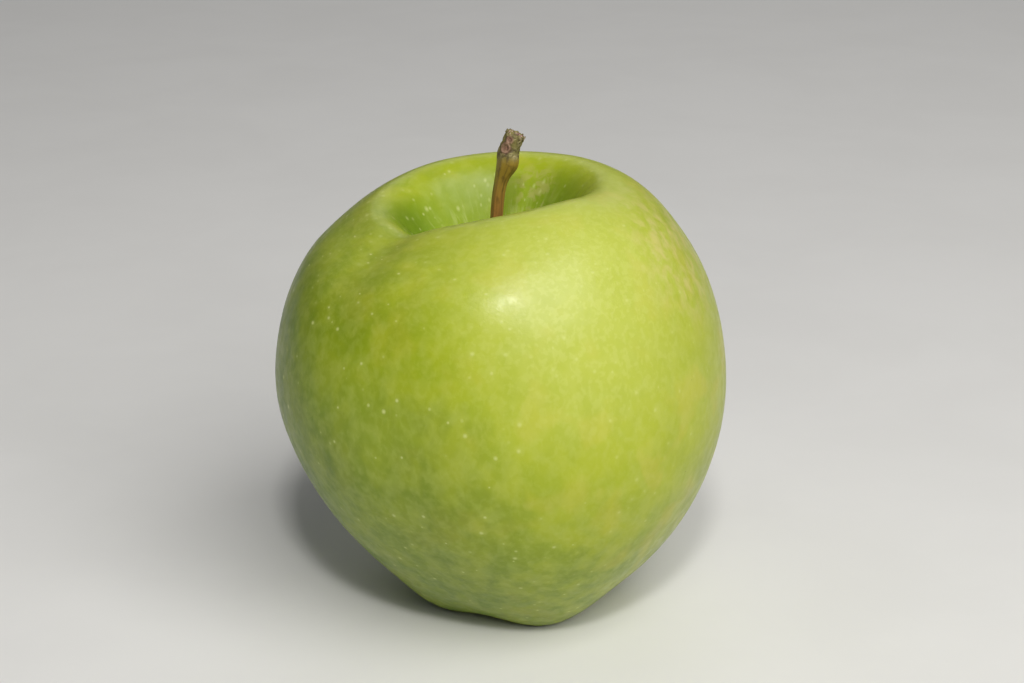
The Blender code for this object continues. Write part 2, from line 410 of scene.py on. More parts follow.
# painted sheen: where it begins, outside the cavity
PAINTED_SHEEN_ALONG = (24.0, 32.0)
RIM_ALONG_IN = (22.0, 30.0)
RIM_ALONG_OUT = (56.0, 38.0)
NET_ALONG = (12.0, 3.0)
RAYS_ALONG = (22.0, 10.0)
BASIN_ALONG = (124.0, 134.0)
PORES_ALONG = (18.0, 36.0)
MOUTH_FLECKS_ALONG = (29.0, 22.0)
RIM_FLECKS_ALONG = (48.0, 24.0)
STEM_FLECKS_ALONG = (5.0, 11.0)
MATT_CAVITY_ALONG = (24.0, 12.0)
MATT_BASIN_ALONG = (120.0, 130.0)
print("the skin is palest near", PAINTED_SHEEN_PLACE, "mm and tan near", TAN_SHOULDER, "mm")

# %% Skin material


def near_place(tree, places, place, far, close):
    """1 within `close` mm of a place on the fruit, 0 beyond `far` mm."""
    away = node(tree, "ShaderNodeVectorMath", {0: places, 1: place}, operation="DISTANCE")
    return ramp(tree, away.outputs["Value"], far, close)


def skin_colour(tree, places, grain, along, sun_and_lit_side):
    """The skin without its pores: deep green under paler and yellower clouds. The side facing the lamps is
    painted paler and yellower, partly the fruit's own sunny side, and a painted sheen pales the upper front.
    Painted shade darkens the left side, the base, the stem cavity, a crease at the left of the mouth and the
    cavity's right wall.
    """
    long_grain = stretch(tree, grain, (1.0, 1.0, 0.8))
    wide = cloud_mask(tree, places, 14.0, 0.34, 0.66, detail=2.0)
    height = node(tree, "ShaderNodeSeparateXYZ", {"Vector": places}).outputs["Z"]
    # painted shade: the base gets less leaf green and less yellow, so the fruit is darker and deeper green
    # towards the bottom
    above_painted_base_shade = ramp(tree, height, *PAINTED_BASE_SHADE_HEIGHTS, PAINTED_BASE_SHADE_SHARE, 1.0)
    # painted light and shade: more leaf green and yellow on the side facing the lamps, deep green on the
    # shaded left
    base = maths(tree, "ADD", share_of(tree, wide, 0.45), share_of(tree, sun_and_lit_side, 0.50), clamp=True)
    colour = tint(tree, both(tree, base, above_painted_base_shade), DEEP_GREEN, LEAF_GREEN)
    yellowed = both(tree, share_of(tree, sun_and_lit_side, 0.80), above_painted_base_shade)
    colour = tint(tree, yellowed, colour, YELLOW_GREEN)
    patches = cloud_mask(tree, long_grain, 5.0, 0.36, 0.66, detail=2.0)
    patched = both(tree, patches, ramp(tree, sun_and_lit_side, 0.0, 1.0, 0.26, 0.58))
    colour = tint(tree, patched, colour, YELLOW_GREEN)
    freckles = cloud_mask(tree, long_grain, 2.4, 0.40, 0.66, detail=2.0)
    colour = tint(tree, share_of(tree, freckles, 0.17), colour, PALE_GREEN)
    haze = cloud_mask(tree, long_grain, 1.0, 0.45, 0.65, detail=2.0)
    colour = tint(tree, share_of(tree, haze, 0.09), colour, PALE_GREEN)
    warm = both(tree, cloud_mask(tree, places, 8.0, 0.52, 0.68, detail=2.0), sun_and_lit_side)
    colour = tint(tree, share_of(tree, warm, 0.20), colour, WARM_YELLOW)

    # painted shade: the stem cavity is tinted a darker, deeper green
    in_cavity = ramp(tree, along, *CAVITY_SHADE_ALONG)
    colour = tint(tree, share_of(tree, in_cavity, 0.72), colour, CAVITY_SHADE_GREEN)
    # painted shade: a dark fold at the left end of the mouth, where the surface turns from the light
    painted_crease_shade = near_place(tree, places, CREASE_SHADE_PLACE, 9.0, 2.0)
    colour = tint(tree, share_of(tree, painted_crease_shade, 0.80), colour, PAINTED_SHADE_GREEN)
    # painted shadow on the right wall of the cavity, under its rim
    painted_wall_shadow = near_place(tree, places, SHADY_WALL, 8.0, 2.0)
    colour = tint(tree, share_of(tree, painted_wall_shadow, 0.42), colour, PAINTED_SHADE_GREEN)
    # painted sheen: the upper front is paled the way a broad reflection of the lamps would pale it
    painted_sheen = near_place(tree, places, PAINTED_SHEEN_PLACE, 28.0, 6.0)
    painted_sheen = both(tree, painted_sheen, ramp(tree, haze, 0.0, 1.0, 0.7, 1.0))
    painted_sheen = both(tree, painted_sheen, ramp(tree, along, *PAINTED_SHEEN_ALONG))
    colour = tint(tree, share_of(tree, painted_sheen, 0.68), colour, PALE_GREEN)
    near_rim = both(tree, ramp(tree, along, *RIM_ALONG_IN), ramp(tree, along, *RIM_ALONG_OUT))
    return tint(tree, share_of(tree, near_rim, 0.14), colour, PALE_GREEN)


def skin_marks(tree, colour, places, grain, along, sun_and_lit_side):
    """Tan on the right shoulder and round the stem, russet in the basin, pores, flecks and specks. The pores
    are painted fainter on the side facing the lamps, as painted light.
    """
    # a pale tan strip along the right shoulder
    blush = cloud_mask(tree, stretch(tree, grain, (1.0, 1.0, 0.5)), 1.8, 0.36, 0.70)
    blush = both(tree, near_place(tree, places, TAN_SHOULDER, 17.0, 4.0), blush)
    colour = tint(tree, share_of(tree, blush, 0.42), colour, SHOULDER_TAN_COLOUR)

    tan_wall = near_place(tree, places, TAN_WALL, 6.0, 1.5)
    netted = maths(tree, "MAXIMUM", ramp(tree, along, *NET_ALONG), tan_wall)
    net = both(tree, netted, cloud_mask(tree, grain, 1.6, 0.42, 0.58, detail=6.0))
    rays = fibre_mask(tree, meridian_grain(tree, grain, 12.0, 1.0), 0.8, 4.0, 0.50, 0.70)
    rays = both(tree, rays, ramp(tree, along, *RAYS_ALONG))
    in_basin = ramp(tree, along, *BASIN_ALONG)
    colour = tint(tree, share_of(tree, rays, 0.26), colour, PALE_DOT)
    colour = tint(tree, share_of(tree, net, 0.50), colour, TAN_NET)
    colour = tint(tree, share_of(tree, in_basin, 0.50), colour, RUSSET)

    pore, halo = spot_masks(tree, grain, 2.3, 0.44, 0.80, 0.9)
    pore = both(tree, pore, ramp(tree, along, *PORES_ALONG))
    fleck, _ = spot_masks(tree, meridian_grain(tree, grain, 12.0, 0.62), 1.35, 0.42, 0.90, 1.0)
    over_rim = both(tree, ramp(tree, along, *RIM_FLECKS_ALONG), ramp(tree, sun_and_lit_side, 0.72, 0.35))
    flecked = maths(tree, "MAXIMUM", ramp(tree, along, *MOUTH_FLECKS_ALONG), over_rim)
    fleck = both(tree, fleck, both(tree, flecked, ramp(tree, along, *STEM_FLECKS_ALONG)))
    colour = tint(tree, share_of(tree, halo, 0.12), colour, PALE_GREEN)
    colour = tint(tree, share_of(tree, fleck, 0.42), colour, PALE_DOT)
    # painted light: pores show less on the side facing the lamps
    shown_pore = both(tree, pore, ramp(tree, sun_and_lit_side, 0.3, 0.9, 0.58, 0.22))
    colour = tint(tree, shown_pore, colour, PALE_DOT)
    speck, _ = spot_masks(tree, places, 7.0, 0.30, 0.35, 0.6)
    colour = tint(tree, share_of(tree, speck, 0.65), colour, DARK_SPECK)
    return colour, maths(tree, "ADD", pore, share_of(tree, fleck, 0.5))


def skin_material():
    material, tree, shader = new_material("green_skin")
    places = object_mm(tree)
    grain = own_vector(tree, "skin_grain")
    along = node(tree, "ShaderNodeSeparateXYZ", {"Vector": grain}).outputs["Z"]
    parts = node(tree, "ShaderNodeSeparateXYZ", {"Vector": places})
    # Partly painted light: this mask rises towards the right and the top, where the lamps fall. It makes the
    # skin paler and yellower there and deeper green on the shaded left. A sun-yellowed side is also the
    # fruit's own colour.
    sun_and_lit_side = maths(tree, "ADD", parts.outputs["X"], share_of(tree, parts.outputs["Z"], SUN_AND_LIT_SIDE_LIFT))
    sun_and_lit_side = ramp(tree, sun_and_lit_side, *SUN_AND_LIT_SIDE_REACH)
    colour = skin_colour(tree, places, grain, along, sun_and_lit_side)
    colour, raised = skin_marks(tree, colour, places, grain, along, sun_and_lit_side)

    wax = cloud_mask(tree, places, 2.0, 0.35, 0.65, detail=5.0)
    matt_cavity = ramp(tree, along, *MATT_CAVITY_ALONG)
    hollow = maths(tree, "ADD", matt_cavity, ramp(tree, along, *MATT_BASIN_ALONG))
    rough = maths(tree, "ADD", share_of(tree, raised, 0.10), share_of(tree, hollow, 0.34))
    roughness = maths(tree, "ADD", ramp(tree, wax, 0.0, 1.0, 0.29, 0.37), rough)
    grain_bump = cloud_mask(tree, places, 0.55, 0.25, 0.75, detail=3.0)
    dimples = cloud_mask(tree, places, 3.0, 0.2, 0.8, detail=1.0)
    height = maths(tree, "ADD", share_of(tree, grain_bump, 0.22), share_of(tree, dimples, 0.7))
    height = maths(tree, "ADD", height, share_of(tree, raised, 0.35))
    finish_shader(tree, shader, colour, roughness, height, 0.35, 0.10)
    shader.inputs["Specular IOR Level"].default_value = 0.36
    shader.inputs["Subsurface Weight"].default_value = 0.18
    shader.inputs["Subsurface Radius"].default_value = (1.0, 1.2, 0.35)
    shader.inputs["Subsurface Scale"].default_value = 0.0015
    return material


green_skin = skin_material()
print("green_skin has", len(green_skin.node_tree.nodes), "nodes")

# %% [markdown]
# ## The section of the fruit
#
# The outline of half an apple, from the floor of the stem cavity, over the rim and down the cheek, to the
# floor of the basin. It could be drawn with arcs, but a cubic B-spline through a cage of a few points has
# no kink anywhere, and a glossy skin shows every kink. The first and last points mirror their neighbours,
# so that the line crosses the axis level.

# %% Section of the fruit
SECTION_CAGE = [
    (-4.0, 56.5),
    (0.0, 55.5),
    (4.0, 56.5),
    (8.0, 63.5),
    (11.5, 70.8),
    (16.7, 76.6),
    (25.6, 70.8),
    (33.0, 60.3),
    (37.7, 45.7),
    (37.2, 31.8),
    (30.7, 17.5),
    (21.8, 6.3),
    (13.5, -1.5),
    (8.5, 2.0),
    (4.5, 8.5),
    (0.0, 9.8),
    (-4.5, 8.5),
]
SAMPLES_PER_SPAN = 10
STEPS_AROUND = 220
MERGE_DISTANCE = 0.0005

section = spline_points(SECTION_CAGE, SAMPLES_PER_SPAN)
distances_along = [0.0]
for before, after in zip(section, section[1:]):
    distances_along.append(distances_along[-1] + math.dist(before, after))
print("the section is", round(distances_along[-1], 1), "mm long, with", len(section), "points")

# %% [markdown]
# ## How the fruit grew out of true
#
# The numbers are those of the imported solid, so that the finished fruit fits it. Five lobes swell at the base
# and barely show on the cheek. The rim hangs low on the left, where the mouth of the cavity opens wide. The
# top leans, and the base sits to the right of it.

# %% Growth
LOBES = 5
FRONT_LOBE = math.radians(17.0)
LOBE_WANDER = 0.56
LOBE_DEPTH_AT_SIDE = 0.008
LOBE_DEPTH_AT_BASE = 0.035
BASE_LOBES_END = 32.0
TOP_LOBES_FADE = (49.0, 70.0)
LOBE_REACH_AT_FOOT = 0.6
FOOT_HEIGHT = 9.0
FOOT_RADII = (6.0, 12.0)
DIP_DEPTH = 6.9
DIP_ANGLE = -60.0
DIP_HALF_WIDTH = 71.0
DIP_HEIGHTS = (39.0, 69.0)
DIP_RADII_IN = (1.0, 14.0)
DIP_RADII_OUT = (20.0, 38.0)
TOP_SLOPE_SIDEWAYS = -0.004
TOP_SLOPE_BACKWARDS = -0.102
SLOPE_HEIGHTS = (25.0, 67.0)
MOUTH_HEIGHTS = (57.0, 68.0)
MOUTH_RADII_IN = (3.0, 11.0)
MOUTH_RADII_OUT = (14.0, 30.0)
MOUTH_OPENING = 2.9
MOUTH_OPENING_ANGLE = -84.0
MOUTH_OPENING_HALF_WIDTH = 50.0
NOTCH_DEPTH = 0.4
NOTCH_ANGLE = 15.0
NOTCH_HALF_WIDTH = 18.0
BASE_SHIFT = 3.3
BASE_SHIFT_END = 44.0


def between(value, fade_up, fade_down):
    """1 between the two fades and 0 outside them."""
    return fade_in(value, *fade_up) * (1.0 - fade_in(value, *fade_down))


def nearness(angle, middle, half_width):
    """A bell around the axis: 1 at the middle, which is in degrees like the half width."""
    return hump(math.remainder(angle - math.radians(middle), math.tau), math.radians(half_width))


def lobe_wave(angle):
    """1 on the middle of each lobe and -1 halfway between two."""
    turn = angle - FRONT_LOBE
    return math.cos(LOBES * turn - LOBE_WANDER * math.sin(turn))


def axis_shift(height):
    """How far the fruit's axis lies to the right at this height."""
    return BASE_SHIFT * (1.0 - fade_in(height, 0.0, BASE_SHIFT_END))


def grown(radius, height, angle):
    """Where a point of the even, turned fruit lies on the real one."""
    wave = lobe_wave(angle)
    at_base = 1.0 - fade_in(height, 0.0, BASE_LOBES_END)
    at_top = fade_in(height, *TOP_LOBES_FADE)
    depth = LOBE_DEPTH_AT_SIDE * (1.0 - at_base - at_top) + LOBE_DEPTH_AT_BASE * at_base
    wide = radius * (1.0 + depth * wave)

    in_mouth = fade_in(height, *MOUTH_HEIGHTS) * between(radius, MOUTH_RADII_IN, MOUTH_RADII_OUT)
    wide += MOUTH_OPENING * in_mouth * nearness(angle, MOUTH_OPENING_ANGLE, MOUTH_OPENING_HALF_WIDTH)

    on_foot = (1.0 - fade_in(height, 0.0, FOOT_HEIGHT)) * fade_in(radius, *FOOT_RADII)
    hanging = fade_in(height, *DIP_HEIGHTS) * between(radius, DIP_RADII_IN, DIP_RADII_OUT)
    high = height - LOBE_REACH_AT_FOOT * on_foot * wave
    high -= DIP_DEPTH * hanging * nearness(angle, DIP_ANGLE, DIP_HALF_WIDTH)
    high -= NOTCH_DEPTH * in_mouth * nearness(angle, NOTCH_ANGLE, NOTCH_HALF_WIDTH)

    x, y = wide * math.sin(angle), -wide * math.cos(angle)
    high += (TOP_SLOPE_SIDEWAYS * x + TOP_SLOPE_BACKWARDS * y) * fade_in(height, *SLOPE_HEIGHTS)
    return Vector((x + axis_shift(height), y, high))


# %% [markdown]
# ## Relief of the skin
#
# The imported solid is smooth. A real apple is not: its cheek has slow waves, a crease runs down from the left
# end of the mouth, the lip is soft at the right, and both hollows are pleated, because the flesh swelled
# faster than the skin around the stem and the flower. Sines make the pleats even, and noise keeps them from
# looking made.

# %% Relief
WAVE_DEPTH = 0.16
WAVE_WIDTH = 11.0
WAVE_HEIGHT = 13.0
CREASE_ANGLE = -28.0
CREASE_TURN = -22.0
CREASE_TURN_HEIGHTS = (38.0, 68.0)
CREASE_SHALLOW = 0.3
CREASE_DEEPENS = (50.0, 68.0)
CREASE_HEIGHTS = (12.0, 30.0)
CREASE_RADII = (8.0, 14.0)
CREASE_HALF_WIDTH = 12.0
SOFT_LIP_DEPTH = 1.3
SOFT_LIP_ANGLE = 66.0
SOFT_LIP_HALF_WIDTH = 34.0
SOFT_LIP_HEIGHTS = (64.0, 71.0)
SOFT_LIP_RADII_IN = (6.0, 11.0)
SOFT_LIP_RADII_OUT = (17.0, 27.0)
CAVITY_PLEATS = 17.0
CAVITY_PLEAT_DEPTH = 0.24
CAVITY_PLEAT_HEIGHTS = (56.5, 60.0)
CAVITY_PLEAT_RADII = (10.0, 19.0)
BASIN_PLEATS = 10.0
BASIN_PLEAT_DEPTH = 0.30
BASIN_PLEAT_HEIGHTS = (7.0, 9.5)
BASIN_PLEAT_RADII_IN = (3.0, 5.0)
BASIN_PLEAT_RADII_OUT = (8.5, 13.5)


def crease(radius, height, angle):
    """How deep the crease is here. It turns to the left as it climbs to the mouth."""
    middle = CREASE_ANGLE + CREASE_TURN * fade_in(height, *CREASE_TURN_HEIGHTS)
    depth = CREASE_SHALLOW + (1.0 - CREASE_SHALLOW) * fade_in(height, *CREASE_DEEPENS)
    depth *= fade_in(height, *CREASE_HEIGHTS) * fade_in(radius, *CREASE_RADII)
    return depth * nearness(angle, middle, CREASE_HALF_WIDTH)


def soft_lip(radius, height, angle):
    """How far the right end of the lip is rounded down."""
    on_lip = fade_in(height, *SOFT_LIP_HEIGHTS) * between(radius, SOFT_LIP_RADII_IN, SOFT_LIP_RADII_OUT)
    return SOFT_LIP_DEPTH * on_lip * nearness(angle, SOFT_LIP_ANGLE, SOFT_LIP_HALF_WIDTH)


def skin_relief(radius, height, angle):
    """The whole relief here, outwards in millimetres."""
    around = Vector((math.sin(angle), -math.cos(angle), 0.0))
    waves = noise.noise(around * radius / WAVE_WIDTH + Vector((0.0, 0.0, height / WAVE_HEIGHT)))
    in_cavity = fade_in(height, *CAVITY_PLEAT_HEIGHTS) * (1.0 - fade_in(radius, *CAVITY_PLEAT_RADII))
    cavity_pleat = math.sin(CAVITY_PLEATS * angle + 3.0 * noise.noise(around * 2.0))
    cavity_pleat *= noise.noise(around * 3.0 + Vector((0, 0, 4)))
    in_basin = 1.0 - fade_in(height, *BASIN_PLEAT_HEIGHTS)
    in_basin *= between(radius, BASIN_PLEAT_RADII_IN, BASIN_PLEAT_RADII_OUT)
    basin_pleat = math.sin(BASIN_PLEATS * angle + 2.0 * noise.noise(around * 1.5 + Vector((0, 0, 9))))
    pleats = CAVITY_PLEAT_DEPTH * in_cavity * cavity_pleat + BASIN_PLEAT_DEPTH * in_basin * basin_pleat
    return WAVE_DEPTH * waves - crease(radius, height, angle) - soft_lip(radius, height, angle) + pleats


# %% [markdown]
# ## The fruit
#
# The section is spun once around the axis. Before any point moves, it gets its place in the grain, because
# only the even shape still knows its angle and its distance along the section. Then each point grows, the
# relief pushes it along its normal, and the tips of the lobes are pressed flat where they meet the table.

# %% Turn the section and write the grain


def turned_fruit():
    shape = bmesh.new()
    grain = shape.verts.layers.float_vector.new("skin_grain")
    chain = []
    for (radius, height), along in zip(section, distances_along):
        vert = shape.verts.new((radius, 0.0, height))
        vert[grain] = (0.0, 0.0, along)
        chain.append(vert)
    links = [shape.edges.new(pair) for pair in zip(chain, chain[1:])]
    bmesh.ops.spin(
        shape,
        geom=chain + links,
        cent=(0.0, 0.0, 0.0),
        axis=(0.0, 0.0, 1.0),
        angle=math.tau,
        steps=STEPS_AROUND,
        use_merge=True,
    )
    bmesh.ops.remove_doubles(shape, verts=shape.verts, dist=MERGE_DISTANCE)
    return shape, grain


# %% Let it grow


def grow(shape, grain):
    even = []
    for vert in shape.verts:
        x, y, height = vert.co
        radius, angle = math.hypot(x, y), math.atan2(x, -y)
        even.append((radius, height, angle))
        vert[grain] = (x, y, vert[grain].z)
        vert.co = grown(radius, height, angle)
    bmesh.ops.recalc_face_normals(shape, faces=shape.faces)
    shape.normal_update()
    moves = [skin_relief(*place) * vert.normal for vert, place in zip(shape.verts, even)]
    for vert, move in zip(shape.verts, moves):
        vert.co += move
        vert.co.z = max(vert.co.z, 0.0)


def middle_of(shape):
    xs, ys = [vert.co.x for vert in shape.verts], [vert.co.y for vert in shape.verts]
    return Vector(((min(xs) + max(xs)) / 2.0, (min(ys) + max(ys)) / 2.0, 0.0))


fruit_shape, grain_layer = turned_fruit()
grow(fruit_shape, grain_layer)
low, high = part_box("fruit")
packed_middle = Vector(((low.x + high.x) / 2.0, (low.y + high.y) / 2.0, 0.0)) / MM
to_frame = packed_middle - middle_of(fruit_shape)
apple_fruit = object_from(fruit_shape, "apple_fruit", green_skin, ["fruit"], to_frame)
print("the grown axis lies", round(to_frame.x, 2), "mm beside the middle of the box")

# %% [markdown]
# ## Bark
#
# The stem is a bit of twig. It is reddish brown and smooth low down, olive in the middle, and mossy, scarred
# and rough at the swollen end. Its mesh carries `bark_grain`, which is to the stem what `skin_grain` is to
# the fruit: two coordinates round it and one along it, in millimetres. `bark_scar` marks the scars.

# %% Bark material
RED_BROWN = (0.300, 0.145, 0.035)
GOLD_OLIVE = (0.310, 0.205, 0.030)
MOSS = (0.190, 0.165, 0.045)
BARK_DARK = (0.045, 0.028, 0.014)
BARK_PALE = (0.460, 0.390, 0.180)
SCAR_BROWN = (0.190, 0.085, 0.055)
SCAR_PALE = (0.330, 0.185, 0.125)
ROOT_GREEN = (0.300, 0.330, 0.060)
STEM_LENGTH = 27.6
OLD_END_ALONG = (22.8, 24.6)
OLIVE_ALONG = (14.0, 21.5)
ROOT_ALONG = (5.0, 1.5)


def bark_material():
    material, tree, shader = new_material("stem_bark")
    grain = own_vector(tree, "bark_grain")
    scar = node(tree, "ShaderNodeSeparateXYZ", {"Vector": own_vector(tree, "bark_scar")})
    along = node(tree, "ShaderNodeSeparateXYZ", {"Vector": grain}).outputs["Z"]
    old_end = ramp(tree, along, *OLD_END_ALONG)

    colour = tint(tree, ramp(tree, along, *OLIVE_ALONG), RED_BROWN, GOLD_OLIVE)
    colour = tint(tree, old_end, colour, MOSS)
    colour = tint(tree, ramp(tree, along, *ROOT_ALONG), colour, ROOT_GREEN)
    streaks = fibre_mask(tree, grain, 0.7, 7.0, 0.46, 0.66)
    colour = tint(tree, share_of(tree, streaks, 0.40), colour, BARK_DARK)
    stains = cloud_mask(tree, grain, 1.6, 0.50, 0.62, detail=4.0)
    colour = tint(tree, share_of(tree, stains, 0.35), colour, BARK_DARK)
    crust = both(tree, cloud_mask(tree, grain, 0.8, 0.50, 0.60, detail=4.0), old_end)
    colour = tint(tree, share_of(tree, crust, 0.50), colour, BARK_PALE)
    lichen = both(tree, cloud_mask(tree, grain, 0.7, 0.55, 0.62, detail=3.0), old_end)
    colour = tint(tree, share_of(tree, lichen, 0.70), colour, BARK_DARK)
    pore, _ = spot_masks(tree, grain, 1.0, 0.16, 0.5)
    colour = tint(tree, share_of(tree, pore, 0.30), colour, BARK_PALE)
    colour = tint(tree, share_of(tree, scar.outputs["X"], 0.85), colour, SCAR_BROWN)
    colour = tint(tree, share_of(tree, scar.outputs["Y"], 0.75), colour, SCAR_PALE)
    colour = tint(tree, share_of(tree, scar.outputs["Z"], 0.70), colour, BARK_PALE)

    scarred = maths(tree, "MAXIMUM", scar.outputs["X"], old_end)
    roughness = maths(tree, "ADD", ramp(tree, scarred, 0.0, 1.0, 0.30, 0.62), share_of(tree, crust, 0.1))
    lines = share_of(tree, fibre_mask(tree, grain, 0.35, 3.5, 0.3, 0.7), 0.4)
    height = maths(tree, "ADD", lines, share_of(tree, crust, 0.9))
    finish_shader(tree, shader, colour, roughness, height, 0.55, 0.12)
    return material


stem_bark = bark_material()
print("stem_bark has", len(stem_bark.node_tree.nodes), "nodes")

# %% [markdown]
# ## The stem
#
# A stem could be a curve with a bevel, but a curve can't carry bud scars or a broken end. So a circle is
# drawn out ring by ring along a bent line, thin below and swollen at its end, and the relief then works on
# the rings. At the end the last rings go inwards: a ragged rim, a sunken ring of wood, and the pith.

# %% Line of the stem
STEM_CAGE = [
    (0.0, 50.5, 1.45),
    (0.0, 53.5, 1.60),
    (0.0, 56.0, 1.42),
    (-0.3, 59.5, 1.12),
    (-0.55, 64.0, 1.02),
    (-0.42, 68.0, 1.02),
    (-0.05, 71.3, 1.02),
    (0.35, 73.3, 1.05),
    (0.95, 75.1, 1.50),
    (1.4, 76.5, 1.80),
    (1.4, 77.8, 1.76),
    (1.95, 79.2, 1.58),
    (2.65, 81.0, 1.68),
    (3.35, 82.8, 1.60),
]
RINGS_PER_SPAN = 14
STEM_SIDES = 84

stem_line = spline_points(STEM_CAGE, RINGS_PER_SPAN)
stem_foot, stem_top = stem_line[0][1], stem_line[-1][1]
print("the stem has", len(stem_line), "rings from", round(stem_foot, 1), "to", round(stem_top, 1), "mm")

# %% [markdown]
# ## Marks on the stem
#
# A bud scar is where a bud or a leaf dropped off: a raised ring around a hollow, with a dot in the middle. It
# is given as (angle from the front, height, size, rise of its ring), and the patch of lost bark as (angle,
# height, size). The rings of the broken end are (share of the last ring's radius, depth below it).

# %% Rings of the stem
BUD_SCARS = [(-31.0, 78.8, 0.72, 0.20), (-25.0, 80.15, 0.50, 0.12)]
SCAR_PATCH = (38.0, 77.9, 0.75)
END_RINGS = [(0.93, 0.02), (0.84, -0.25), (0.72, -0.50), (0.52, -0.58), (0.30, -0.50), (0.12, -0.62)]
GRAIN_RADIUS = 1.7
RIBS = 7.0
RIB_DEPTH = 0.035
KNOB_DEPTH = 0.09
CRUST_DEPTH = 0.10
OLD_END_HEIGHTS = (77.0, 79.0)
RAGGED_HEIGHTS = (80.0, 80.9)
SHOULDER_DEPTH = 0.22
SHOULDER_ANGLE = 80.0
SHOULDER_HEIGHT = 75.9


def stem_ring_place(index):
    """The matrix that takes a level unit circle to one ring of the stem."""
    x, height, radius = stem_line[index]
    below, above = stem_line[max(index - 1, 0)], stem_line[min(index + 1, len(stem_line) - 1)]
    lean = math.atan2(above[0] - below[0], above[1] - below[1])
    return Matrix.Translation((x, 0.0, height)) @ Matrix.Rotation(lean, 4, "Y") @ Matrix.Scale(radius, 4)


def bark_relief(turn, height):
    """(push outwards in millimetres, colours of the scars) at a place on the stem. turn is 0 at the front."""
    around = Vector((math.sin(turn), -math.cos(turn), 0.0))
    ribs = RIB_DEPTH * math.sin(RIBS * turn + 2.5 * noise.noise(around + Vector((0, 0, height / 6.0))))
    knobs = KNOB_DEPTH * noise.noise(around * 1.6 + Vector((0, 0, height / 2.2)))
    old_end = fade_in(height, *OLD_END_HEIGHTS)
    crust = CRUST_DEPTH * old_end * noise.noise(around * 5.0 + Vector((0, 0, height * 2.2)))
    shoulder = hump(turn - math.radians(SHOULDER_ANGLE), 0.9) * hump(height - SHOULDER_HEIGHT, 1.1)
    push = ribs + knobs * (0.5 + old_end) + crust + SHOULDER_DEPTH * shoulder
    dark, pale = 0.0, 0.0
    for angle, scar_height, size, rise in BUD_SCARS:
        across = GRAIN_RADIUS * math.remainder(turn - math.radians(angle), math.tau)
        distance = math.hypot(across, (height - scar_height) * 1.1)
        ring, hollow, dot = hump(distance - size, 0.17), hump(distance, size * 0.75), hump(distance, 0.16)
        push += rise * ring - 0.24 * hollow + 0.16 * dot
        dark, pale = max(dark, hump(distance, size * 1.1)), max(pale, ring, dot)
    angle, patch_height, size = SCAR_PATCH
    across = GRAIN_RADIUS * math.remainder(turn - math.radians(angle), math.tau)
    patch = hump(math.hypot(across, (height - patch_height) * 0.8), size * 0.7)
    return push - 0.18 * patch, (dark, pale, patch)


def extruded_ring(shape, ring, matrix):
    """Draws a ring of edges out and moves the new ring by the matrix."""
    made = bmesh.ops.extrude_edge_only(shape, edges=ring)["geom"]
    verts = [item for item in made if isinstance(item, bmesh.types.BMVert)]
    bmesh.ops.transform(shape, matrix=matrix, verts=verts)
    return [item for item in made if isinstance(item, bmesh.types.BMEdge)], verts


# %% Draw the stem and carve it


def carve_ring(verts, place, layers, height):
    """Gives one ring its grain and its relief. The grain is written before the points move."""
    bark_grain, bark_scar = layers
    back, along = place.inverted(), height - stem_foot
    ragged = fade_in(height, *RAGGED_HEIGHTS)
    for vert in verts:
        local = back @ vert.co
        turn = math.atan2(local.x, -local.y)
        push, scar_colours = bark_relief(turn, height)
        vert[bark_grain] = (GRAIN_RADIUS * local.x, GRAIN_RADIUS * local.y, along)
        vert[bark_scar] = scar_colours
        outwards = (place.to_3x3() @ Vector((local.x, local.y, 0.0))).normalized()
        jag = 0.32 * noise.noise(Vector((local.x * 3.1, local.y * 3.1, 2.0))) + 0.16 * math.sin(9.0 * turn)
        vert.co += push * outwards + place.to_3x3().col[2].normalized() * jag * ragged


def build_stem():
    shape = bmesh.new()
    layers = [shape.verts.layers.float_vector.new(name) for name in ("bark_grain", "bark_scar")]
    first = bmesh.ops.create_circle(
        shape, cap_ends=False, segments=STEM_SIDES, radius=1.0, matrix=stem_ring_place(0)
    )["verts"]
    ring, rings = shape.edges[:], [first]
    for index in range(1, len(stem_line)):
        step = stem_ring_place(index) @ stem_ring_place(index - 1).inverted()
        ring, verts = extruded_ring(shape, ring, step)
        rings.append(verts)
    top, radius = stem_ring_place(len(stem_line) - 1), stem_line[-1][2]
    reach, sink = 1.0, 0.0
    for share, depth in END_RINGS:
        inwards = Matrix.Diagonal((share / reach, share / reach, 1.0, 1.0))
        step = Matrix.Translation((0.0, 0.0, (depth - sink) / radius)) @ inwards
        ring, verts = extruded_ring(shape, ring, top @ step @ top.inverted())
        rings.append(verts)
        reach, sink = share, depth
    ends = [edge for edge in shape.edges if edge.is_boundary]
    bmesh.ops.holes_fill(shape, edges=ends, sides=0)
    return shape, layers, rings


def carve_stem(rings, layers):
    """Carves the rings of the side, and roughens the wood of the broken end."""
    for index, verts in enumerate(rings[: len(stem_line)]):
        carve_ring(verts, stem_ring_place(index), layers, stem_line[index][1])
    for verts in rings[len(stem_line) :]:
        for vert in verts:
            wood = noise.noise(vert.co * 2.6)
            vert[layers[0]] = (vert.co.x, vert.co.y, STEM_LENGTH)
            vert.co.z += 0.22 * wood


stem_shape, stem_layers, stem_rings = build_stem()
carve_stem(stem_rings, stem_layers)
bmesh.ops.recalc_face_normals(stem_shape, faces=stem_shape.faces)
apple_stem = object_from(stem_shape, "apple_stem", stem_bark, ["stem"], to_frame)

# %% [markdown]
# ## Torn fibres at the broken end
#
# Where the stem was pulled off the twig, pale fibres stand up around the rim. Each is a short tapered
# splinter with its foot in the wood.

